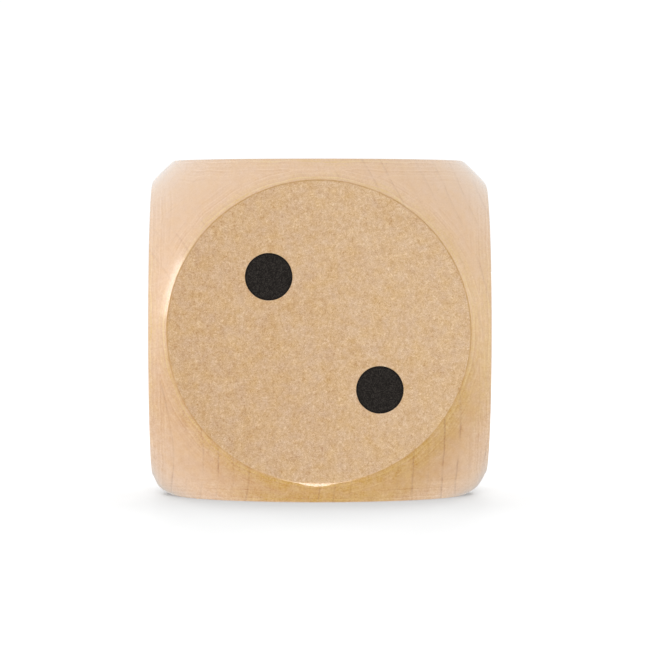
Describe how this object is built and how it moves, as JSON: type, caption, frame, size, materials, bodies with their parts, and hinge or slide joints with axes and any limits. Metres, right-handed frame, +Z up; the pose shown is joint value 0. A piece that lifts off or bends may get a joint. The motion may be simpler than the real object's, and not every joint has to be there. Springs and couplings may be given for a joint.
{
  "type": "giant wooden die",
  "caption": "Giant wooden yard die: a solid hardwood block turned round at its edges and corners, with a flat round land and round black pips on each face.",
  "frame": {"origin": "centre of the bottom face, on the surface that the die rests on", "axes": "+Z up through face 1, -Y towards the viewer of face 2, +X towards the viewer of face 3; opposite faces add up to seven"},
  "size_m": [0.09, 0.09, 0.09],
  "materials": {
    "lacquered_hardwood": "pale fine-grained hardwood, sanded and clear lacquered, satin",
    "black_ink": "matt black printed ink"
  },
  "bodies": {
    "root": {"die_block": "lacquered_hardwood", "face_1_pip_centre": "black_ink", "face_2_pip_upper_left": "black_ink", "face_2_pip_lower_right": "black_ink", "face_3_pip_upper_left": "black_ink", "face_3_pip_centre": "black_ink", "face_3_pip_lower_right": "black_ink", "face_4_pip_upper_left": "black_ink", "face_4_pip_upper_right": "black_ink", "face_4_pip_lower_left": "black_ink", "face_4_pip_lower_right": "black_ink", "face_5_pip_upper_left": "black_ink", "face_5_pip_upper_right": "black_ink", "face_5_pip_lower_left": "black_ink", "face_5_pip_lower_right": "black_ink", "face_5_pip_centre": "black_ink", "face_6_pip_upper_left": "black_ink", "face_6_pip_upper_right": "black_ink", "face_6_pip_lower_left": "black_ink", "face_6_pip_lower_right": "black_ink", "face_6_pip_middle_left": "black_ink", "face_6_pip_middle_right": "black_ink"}
  },
  "joints": []
}
